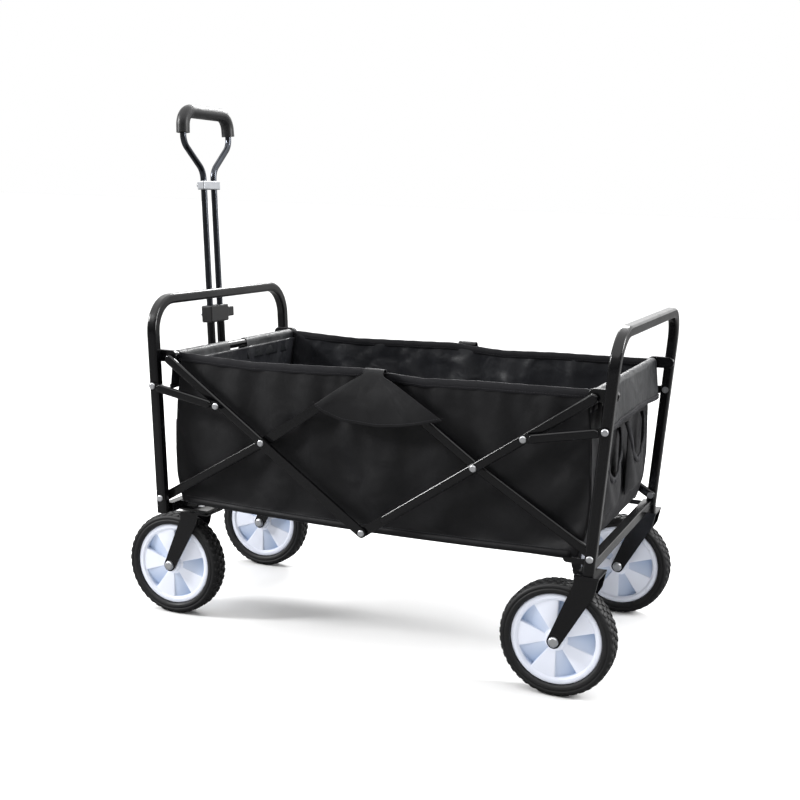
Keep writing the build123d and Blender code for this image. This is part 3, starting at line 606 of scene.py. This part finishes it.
# side panels
sideSize = {"across": 120, "down": 40, "belly": 6.0, "fold": 5.2, "slack": 0.008, "cap": 8.0, "bending": 25.0,
            "wall": 1.3,
            "low": 232.0, "rise": 7.0}
rimLine = [(-414, 524), (-323, 520), (-239, 517), (-137, 520), (-11, 524), (9, 521), (93, 516), (202, 520),
           (340, 522),
           (406, 523)]                                           # along and up, millimetres
endLine = [(384, 240), (386, 250), (396, 290), (399, 340), (396, 430), (388, 500),
           (387, 530)]   # end's x at each height


def rimHeight(x):
    return np.interp(x / mm, *zip(*rimLine)) * mm


def endAt(z):
    heights = [p[1] for p in endLine]
    return np.interp(z / mm, heights, [p[0] for p in endLine]) * mm


def sidePanel(name, node, side):
    size = sideSize
    share, lift = np.meshgrid(np.linspace(-1, 1, size["across"]), np.linspace(0, 1, size["down"]))
    guess = 0.24 + 0.28 * lift
    x = share * endAt(guess)
    low = (size["low"] + size["rise"] * share ** 2) * mm
    z = low + (rimHeight(x) - 5 * mm - low) * lift
    bow = np.sin(pi * (share + 1) / 2) ** 0.6 * np.sin(pi * lift)
    near = np.exp(-((share - 0.02) / 0.3) ** 2)
    drift = x + (z - 0.38) * (0.55 + 0.9 * share)
    folds = (wave(drift, 0.145, side) * 0.6 + wave(drift, 0.083, 1.3 + side) * 0.4
             + wave(x - 1.6 * z, 0.21, 0.5) * 0.5 * near)
    inward = (size["belly"] * bow
              + size["fold"] * folds * np.sin(pi * lift) ** 0.5 * np.sin(pi * (share + 1) / 2) ** 0.4)
    y = side * (panelY + 1.0 * mm - inward * mm)
    rows = np.stack([x + middleX, y, z], axis=2)
    panel = gridPiece(name, rows, [finish["outside"], finish["inside"]])
    number = np.arange(rows.shape[0] * rows.shape[1]).reshape(rows.shape[:2])
    pinned = np.concatenate([number[0], number[-1], number[:, 0], number[:, -1]])
    settle(panel, pinned, 22, size["slack"], size["cap"] * mm, size["bending"])
    held = points(panel)
    held[:, 1] = side * np.minimum(np.abs(held[:, 1]), panelY + 3.0 * mm)
    place(panel, held)
    if side > 0:
        panel.data.flip_normals()
    thicken(panel, size["wall"] * mm, -1.0, 1, 1)
    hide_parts(node)
    return carry(panel, "rear_frame", True)


bindingOutline = [(-1.9, -14.5), (-1.9, -7), (-1.8, -0.6), (-1.0, 0.5), (1.0, 0.5), (1.8, -0.6), (1.9, -7),
                  (1.9, -14.5), (1.1, -15), (-1.1, -15)]         # tape folded over the edge, across and up
hemOutline = [(5.0 * cos(a), 6.5 * sin(a)) for a in np.linspace(0, 2 * pi, 14,
                                                                endpoint=False)]   # sleeve round the rail


def rimBinding(name, side):
    x = np.linspace(-0.391, 0.391, 130)
    z = rimHeight(x) + 0.25 * mm * wave(x, 0.037) - 0.6 * mm
    y = side * (panelY + 0.6 * mm + 0.5 * mm * wave(x, 0.19, side))
    path = np.stack([x + middleX, y, z], axis=1)
    return sweepPiece(name, path, np.array(bindingOutline) * mm, finish["tape"]), path


for side, word, node in ((-1, "left", "side_panel_left"), (1, "right", "side_panel_right")):
    binding, edge = rimBinding(word + "RimBinding", side)
    rows = [edge + (0, out * 2.0 * mm, -11.5 * mm) for out in (-1, 1)]
    share = np.linspace(-0.97, 0.97, 110)
    rail = np.stack([share * 0.383 + middleX, np.full_like(share, side * (panelY - 0.5 * mm)),
                     (sideSize["low"] + 4.0 + sideSize["rise"] * share ** 2) * mm], axis=1)
    hem = sweepPiece(word + "BottomHem", rail, np.array(hemOutline) * mm, finish["outside"])
    seam = stitchRow(word + "PanelStitches", rows + [rail + (0, side * 3.6 * mm, 8.6 * mm)])
    panel = sidePanel(word + "SidePanel", node, side)
    for extra in (binding, hem, seam):
        carry(extra, "rear_frame", True)
print("stage: side panels")

# fans of cloth over the top pivots
fanSize = {"across": 40, "down": 30, "wall": 1.6}
fanEdge = [(-95, 456), (-78, 444), (-42, 431), (25, 427), (72, 433), (108, 441), (146, 450)]
fanTop = (-6, 31)


def fan(name, side):
    size = fanSize
    share = np.linspace(0, 1, size["across"])
    edgeX = np.interp(share, np.linspace(0, 1, len(fanEdge)), [p[0] for p in fanEdge])
    edgeZ = np.interp(share, np.linspace(0, 1, len(fanEdge)), [p[1] for p in fanEdge])
    topX = fanTop[0] + (fanTop[1] - fanTop[0]) * share
    rows = []
    for y, z in ((229, 520.5), (232, 525.5), (238, 527.3), (244, 526.4), (248, 522.5), (249.5, 516)):
        rows.append(np.stack([topX, np.full_like(topX, y), np.full_like(topX, z)], axis=1))
    for t in np.linspace(0.06, 1, size["down"]):
        reach = t ** 0.9
        x = topX + (edgeX - topX) * reach
        z = 516 + (edgeZ - 516) * t
        hump = (7.5 * np.sin(pi * min(t * 0.62, 1)) + 2.5 * t * np.sin(share * 9.0 + 0.8)
                + 5.0 * t * np.exp(-((share - 0.8) / 0.06) ** 2))
        rows.append(np.stack([x, 249.5 + hump * 1.0, z], axis=1))
    made = np.array(rows) * mm
    made[:, :, 0] += middleX
    made[:, :, 1] *= side
    piece = gridPiece(name, made, [finish["outside"], finish["inside"]])
    if side < 0:
        piece.data.flip_normals()
    return thicken(piece, size["wall"] * mm, -1.0, 0, 1), made[-1]


fans = []
for side, word in ((-1, "left"), (1, "right")):
    piece, lowEdge = fan(word + "CentreFan", side)
    seam = stitchRow(word + "FanStitches", [lowEdge + (0, side * 1.0 * mm, 5.0 * mm)])
    fans += [(piece, [seam])]
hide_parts("centre_flaps")
for piece, extras in fans:
    for each in (piece, *extras):
        carry(each, "rear_frame", True)
print("stage: centre fans")

# end panels, sleeves over the rim tubes, pockets
endSize = {"low": 0.247, "high": 0.508, "across": 70, "down": 40, "slack": 0.01, "cap": 8.0, "bending": 15.0, "wall": 1.3}
flapSize = {"across": 120, "wall": 1.4, "half": 0.222, "gap": 0.045}
pocketSize = {"width": 132.0, "across": 34, "down": 30, "wall": 1.5, "depth": {"rear": 14.0, "front": 31.0},
              "area": {"rear": 0.0135, "front": 0.018},
              "scoop": {"rear": 78.0, "front": 18.0}}
ends = (("rear", 1), ("front", -1))


def endPanel(end, toward):
    size = endSize
    share, lift = np.meshgrid(np.linspace(-1, 1, size["across"]), np.linspace(0, 1, size["down"]))
    z = size["low"] + (size["high"] - size["low"]) * lift
    y = share * (panelY - 0.3 * mm)
    ripple = wave(y + 0.4 * z, 0.12, toward) * 1.6 + wave(y - 0.7 * z, 0.071) * 0.9
    x = endAt(z) + 1.2 * mm + (ripple - 1.0) * mm * np.sin(pi * lift) * (1 - share ** 8)
    rows = np.stack([toward * x + middleX, y, z], axis=2)
    panel = gridPiece(end + "EndPanel", rows, [finish["outside"], finish["inside"]])
    number = np.arange(rows.shape[0] * rows.shape[1]).reshape(rows.shape[:2])
    pinned = np.concatenate([number[0], number[-1], number[:, 0], number[:, -1]])
    settle(panel, pinned, 20, size["slack"], size["cap"] * mm, size["bending"])
    held = points(panel)
    reach = np.minimum((held[:, 0] - middleX) * toward, endAt(held[:, 2]) + 2.6 * mm)
    held[:, 0] = toward * reach + middleX
    place(panel, held)
    if toward < 0:
        panel.data.flip_normals()
    thicken(panel, size["wall"] * mm, -1.0, 1, 1)
    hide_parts(end + "_end_panel")
    return carry(panel, end + "_frame")


def rimFlap(name, toward, y0, y1, phase):
    # the panel's top goes up inside the tube, over it, and hangs down outside
    size = flapSize
    r = rimRadius / mm + 1.3
    profile = [(-r - 3.4, -34), (-r - 3.2, -26), (-r - 2.6, -18), (-r - 1.6, -11), (-r - 0.6, -5),
               (-r - 0.1, -1)]
    profile += [(-r * cos(a), r * sin(a)) for a in np.linspace(0, pi, 11)]
    profile += [(r + 0.4, -6), (r + 1.2, -14), (r + 2.0, -22), (r + 2.8, -30), (r + 3.6, -38), (r + 4.3, -46),
                (r + 4.9, -53), (r + 5.3, -59), (r + 5.4, -64)]
    count = max(int(size["across"] * (y1 - y0) / 0.444), 30)
    y = np.linspace(y0, y1, count)
    rows = []
    for n, (across, up) in enumerate(profile):
        hang = max(0.0, -up / 64) if across > 0 else 0.0
        rough = (0.22 * wave(y, 0.052, phase + n * 0.25) + 0.12 * wave(y, 0.023, n * 0.4)) * (1 - 0.6 * hang)
        sway = hang * (2.2 * wave(y, 0.23, phase) + 1.0 * wave(y, 0.11, phase + 1.1 + hang))
        drop = hang * (3.0 * wave(y, 0.31, phase) - 2.0)
        x = (rimX / mm + across + sway + rough * (1 if across > 0 else -1)) * mm
        z = (rimZ / mm + up + drop + (abs(rough) if -r < across < r and up > 0 else 0)) * mm
        rows.append(np.stack([toward * x + middleX, y, np.broadcast_to(z, y.shape)], axis=1))
    made = np.array(rows)
    piece = gridPiece(name, made, [finish["flap"], finish["outside"]])
    if toward > 0:
        piece.data.flip_normals()
    return thicken(piece, size["wall"] * mm, -1.0, 0, 1), made[-1]


def pocket(name, end, toward, centreY, width, low, high, startX, phase):
    size = pocketSize
    depth, scoop = size["depth"][end], size["scoop"][end]
    rows = []
    for t in np.linspace(0, 1, size["down"]):
        u = np.linspace(-1, 1, size["across"])
        bottom = min(1.0, max(0.0, 1 - (1 - t / 0.28)) if t < 0.28 else 1.0)
        bulge = (1 - (1 - bottom) ** 2.6) ** 0.6 * (1 - 0.22 * max(0.0, (t - 0.55) / 0.45) ** 1.5)
        side = (1 - np.abs(u) ** 3.2) ** 0.5
        pucker = 1.2 * np.sin(u * 17 + phase) * max(0.0, (t - 0.7) / 0.3) + 1.0 * np.sin(u * 5 + 7 * t + phase)
        out = np.maximum((depth - 3) * bulge * side + pucker * side * bulge, 0.0)
        y = centreY + u * width / 2 * (0.93 + 0.07 * bulge) * (1 - 0.02 * t)
        z = low + (high - scoop * (1 - np.abs(u) ** 2.6) - low) * t
        rows.append(np.stack([startX + out, y, z], axis=1))
    made = np.array(rows) * mm
    made[:, :, 0] = toward * made[:, :, 0] + middleX
    piece = gridPiece(name, made, [finish["outside"], finish["inside"]])
    if toward < 0:
        piece.data.flip_normals()
    return thicken(piece, size["wall"] * mm, -1.0, 1, 1), made[-1]


for end, toward in ends:
    panel = endPanel(end, toward)
    halves = [(-flapSize["half"], flapSize["half"])] if end == "rear" else [
        (-flapSize["half"], -flapSize["gap"]), (flapSize["gap"] * 0.5, flapSize["half"])]
    for n, (y0, y1) in enumerate(halves):
        piece, lowEdge = rimFlap(f"{end}RimFlap{n}", toward, y0, y1, 0.7 * n + toward)
        hem = sweepPiece(f"{end}FlapHem{n}", lowEdge,
                         np.array([(-1.7, -1), (-1.7, 8), (1.7, 8), (1.7, -1)]) * mm, finish["tape"])
        seam = stitchRow(f"{end}FlapStitches{n}", [lowEdge + (toward * 1.9 * mm, 0, 5 * mm)])
        if n == 0:
            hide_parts(end + "_end_flap")
        for each in (piece, hem, seam):
            carry(each, end + "_frame")
    low, high = (Vector(v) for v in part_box(end + "_end_pockets"))
    startX = min(abs(low[0] - middleX), abs(high[0] - middleX)) / mm - 2.0
    outerY = high[1] / mm
    width = pocketSize["width"]
    for n, side in enumerate((-1, 1)):
        piece, topEdge = pocket(f"{end}Pocket{n}", end, toward, side * (outerY - width / 2), width, low[2] / mm,
                                high[2] / mm,
                                startX, n + toward)
        band = sweepPiece(f"{end}PocketBand{n}", topEdge,
                          np.array([(-1.7, -9), (-1.7, 1), (1.7, 1), (1.7, -9)]) * mm,
                          finish["tape"])
        if n == 0:
            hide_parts(end + "_end_pockets")
        for each in (piece, band):
            carry(each, end + "_frame")
labelSize = {"wide": 24.0, "low": 347.0, "high": 396.0, "wall": 0.6}
u, t = np.meshgrid(np.linspace(-1, 1, 10), np.linspace(0, 1, 14))
patch = np.stack([-(endAt(0.38) + 3.2 * mm + 0.5 * mm * np.sin(pi * t)) + middleX + 0 * u,
                  -0.2125 + u * labelSize["wide"] / 2 * mm,
                  (labelSize["low"] + (labelSize["high"] - labelSize["low"]) * t) * mm], axis=2)
label = thicken(gridPiece("sideLabel", patch, [finish["label"]]), labelSize["wall"] * mm, 1.0, 0, 1)
carry(label, "front_frame")
print("stage: ends and pockets")

# floor boards in padded cloth, and the pull strap
boardSize = {"across": 60, "along": 44, "crown": 1.6, "channel": 2.2, "channels": 3}


def floorBoard(name, node):
    low, high = (np.array(v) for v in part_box(node))
    size = boardSize
    centre, half = (low + high) / 2, (high - low) / 2
    u, v = np.meshgrid(np.linspace(-1, 1, size["along"]), np.linspace(-1, 1, size["across"]))
    edge = lambda w: (1 - np.abs(w) ** 10) ** 0.5
    puff = edge(u) * edge(v)
    channels = sum(np.exp(-((v - c) / 0.035) ** 2) for c in np.linspace(-0.5, 0.5, size["channels"]))
    top = (0.62 + 0.38 * puff) * half[2] + (size["crown"] * puff - size["channel"] * np.minimum(channels,
                                                                                                1)) * mm
    bottom = -(0.62 + 0.38 * puff) * half[2]
    grid = lambda z: np.stack([centre[0] + u * half[0], centre[1] + v * half[1], centre[2] + z], axis=2)
    rows = np.concatenate([grid(top), grid(bottom)[::-1]])
    rowsDown, along = rows.shape[:2]
    number = np.arange(rowsDown * along).reshape(rowsDown, along)
    faces = [(number[i, j], number[i, j + 1], number[(i + 1) % rowsDown, j + 1], number[(i + 1) % rowsDown, j])
             for i in range(rowsDown) for j in range(along - 1)]
    last = rowsDown // 2
    for j in (0, along - 1):
        faces += [(number[i, j], number[i + 1, j], number[rowsDown - 2 - i, j], number[rowsDown - 1 - i, j])
                  for i in range(last - 1)]
    uv = rows.reshape(-1, 3)[:, :2]
    piece = meshPiece(name, rows.reshape(-1, 3), faces, [finish["pad"]], uv)
    fixNormals(piece)
    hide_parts(node)
    return piece


for end in ("rear", "front"):
    piece = carry(floorBoard(end + "FloorPad", end + "_floor_board"), "floor_" + end)

strapSize = {"wall": 2.4, "lift": 9.0}
low, high = (np.array(v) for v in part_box("pull_strap"))
run = np.linspace(0, 1, 26)
arch = np.sin(pi * run) ** 1.4 * strapSize["lift"] * mm
path = np.stack([low[0] + (high[0] - low[0]) * run, np.zeros_like(run), low[2] + 1.2 * mm + arch], axis=1)
halfWide, halfThick = (high[1] - low[1]) / 2, strapSize["wall"] / 2 * mm
outline = [(-halfWide, -halfThick), (-halfWide, halfThick), (halfWide, halfThick), (halfWide, -halfThick)]
strap = sweepPiece("pullStrap", path, outline, finish["tape"])
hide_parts("pull_strap")
carry(strap, "floor_rear")
print("stage: floor")

# bolts and washers on the handle, set out by Geometry Nodes
boltSize = {"head": 4.2, "high": 2.6, "washer": 5.8, "thin": 0.9}    # millimetres


def boltTree():
    tree = bpy.data.node_groups.new("boltRow", "GeometryNodeTree")
    face = tree.interface
    face.new_socket("Places", in_out="INPUT", socket_type="NodeSocketGeometry")
    for name in ("Head", "High", "Washer", "Thin"):
        face.new_socket(name, in_out="INPUT", socket_type="NodeSocketFloat")
    face.new_socket("Tilt", in_out="INPUT", socket_type="NodeSocketVector")
    face.new_socket("Metal", in_out="INPUT", socket_type="NodeSocketMaterial")
    face.new_socket("Bolts", in_out="OUTPUT", socket_type="NodeSocketGeometry")
    given = add(tree, "NodeGroupInput").outputs
    head = add(tree, "GeometryNodeMeshCylinder",
               {"Vertices": 6, "Radius": given["Head"], "Depth": given["High"]})
    washer = add(tree, "GeometryNodeMeshCylinder",
                 {"Vertices": 24, "Radius": given["Washer"], "Depth": given["Thin"]})
    half = add(tree, "ShaderNodeMath", {0: given["High"], 1: 0.5}, operation="MULTIPLY")
    rise = add(tree, "ShaderNodeCombineXYZ", {"Z": half.outputs[0]})
    raised = add(tree, "GeometryNodeTransform",
                 {"Geometry": head.outputs["Mesh"], "Translation": rise.outputs["Vector"]})
    both = add(tree, "GeometryNodeJoinGeometry")
    for part in (raised.outputs["Geometry"], washer.outputs["Mesh"]):
        tree.links.new(part, both.inputs["Geometry"])
    laid = add(tree, "GeometryNodeInstanceOnPoints",
               {"Points": given["Places"], "Instance": both.outputs["Geometry"],
                                                      "Rotation": given["Tilt"]})
    real = add(tree, "GeometryNodeRealizeInstances", {"Geometry": laid.outputs["Instances"]})
    dyed = add(tree, "GeometryNodeSetMaterial",
               {"Geometry": real.outputs["Geometry"], "Material": given["Metal"]})
    add(tree, "NodeGroupOutput", {"Bolts": dyed.outputs["Geometry"]})
    return tree


pivot = Vector(joints["handle_swing"]["pos_m"])
along = -Vector(joints["handle_slide"]["axis"]).normalized()
outward = Vector((0, -1, 0)).cross(along)
bolts = boltTree()
for name, body, height, sides, stand in (("bracketBolts", "handle_upper", 586.0, (-24.0, 24.0), 8.3),
                                         ("clampBolts", "handle_lower", 329.0, (-26.0, 0.0), 12.8)):
    base = bpy.data.objects.new(name, bpy.data.meshes.new(name))
    base.data.from_pydata([
        tuple(pivot + along * height * mm + outward * stand * mm + Vector((0, y * mm, 0))) for y in sides], [], [])
    scene.collection.objects.link(base)
    tilt = outward.to_track_quat("Z", "Y").to_euler()
    size = {"Head": boltSize["head"] * mm, "High": boltSize["high"] * mm, "Washer": boltSize["washer"] * mm,
            "Thin": boltSize["thin"] * mm, "Tilt": tuple(tilt), "Metal": finish["zinc"]}
    carry(runTree(name, base, bolts, size), body)
print("stage: handle fittings")

# camera, floor and light
view = {"azimuth": 22.449, "elevation": 9.582, "roll": 1.75, "lens": 55.24, "spot": (0.8897, -2.1649, 0.8280)}
az, el, roll = (radians(view[k]) for k in ("azimuth", "elevation", "roll"))
back = Vector((sin(az) * cos(el), -cos(az) * cos(el), sin(el)))
right = Vector((cos(az), sin(az), 0))
up = back.cross(right)
tilted = cos(roll) * right + sin(roll) * up, -sin(roll) * right + cos(roll) * up
camera = bpy.data.objects.new("camera", bpy.data.cameras.new("camera"))
scene.collection.objects.link(camera)
camera.matrix_world = Matrix.Translation(view["spot"]) @ Matrix((tilted[0], tilted[1],
                                                                 back)).transposed().to_4x4()
camera.data.lens, camera.data.sensor_width = view["lens"], 36
scene.camera = camera

ground = meshPiece("studioFloor", [(-60, -60, 0), (60, -60, 0), (60, 60, 0), (-60, 60, 0)], [(0, 1, 2, 3)], [])
paper, tree, surface = startMaterial("studioPaper", {"Roughness": 0.9})
ray = add(tree, "ShaderNodeLightPath")  # the paper looks darker in reflections, as a dim studio does
sheet = twoTone(tree, ray.outputs["Is Glossy Ray"], "#f4f4f4", "#6c6c6c")
tree.links.new(sheet.outputs["Result"], surface.inputs["Base Color"])
ground.data.materials.append(paper)
roomLight = {"side": 0.12, "top": 0.7, "backdrop": 1.3}
world = bpy.data.worlds.new("studio")
world.use_nodes = True
tree = world.node_tree                                           # white behind the wagon, a dimmer room around it
tree.nodes.clear()
seen = add(tree, "ShaderNodeLightPath")
height = add(tree, "ShaderNodeSeparateXYZ", {"Vector": add(tree, "ShaderNodeTexCoord").outputs["Generated"]})
above = spread(tree, height.outputs["Z"], roomLight["side"], roomLight["top"], 0.1, 0.9)
behind = spread(tree, height.outputs["Y"], 0.0, roomLight["backdrop"], 0.1, 0.6)
room = add(tree, "ShaderNodeMath", {0: above, 1: behind}, operation="MAXIMUM").outputs[0]
level = add(tree, "ShaderNodeMix", {"Factor": seen.outputs["Is Camera Ray"], "A": room, "B": 1.0})
sky = add(tree, "ShaderNodeBackground", {"Color": linear("#ffffff"), "Strength": level.outputs["Result"]})
add(tree, "ShaderNodeOutputWorld", {"Surface": sky.outputs["Background"]})
scene.world = world
scene.view_settings.view_transform = "Standard"


def softLight(name, spot, target, size, power):
    lamp = bpy.data.lights.new(name, "AREA")
    lamp.shape, lamp.size, lamp.size_y, lamp.energy = "RECTANGLE", size[0], size[1], power
    made = bpy.data.objects.new(name, lamp)
    scene.collection.objects.link(made)
    aim = Vector(spot) - Vector(target)
    made.matrix_world = Matrix.Translation(spot) @ aim.to_track_quat("Z", "Y").to_matrix().to_4x4()


softLight("keyLight", (-2.6, -1.5, 1.9), (0, 0, 0.35), (0.6, 0.6), 90)
softLight("edgeLight", (2.6, 0.6, 1.7), (0, 0, 0.4), (0.5, 1.3), 60)
softLight("backLight", (-0.6, 2.4, 2.2), (0, 0, 0.5), (1.6, 0.5), 60)
overhead = bpy.data.lights.new("overhead", "SUN")
overhead.energy, overhead.angle = 2.3, radians(110)
scene.collection.objects.link(bpy.data.objects.new("overhead", overhead))
print("stage: camera and light")
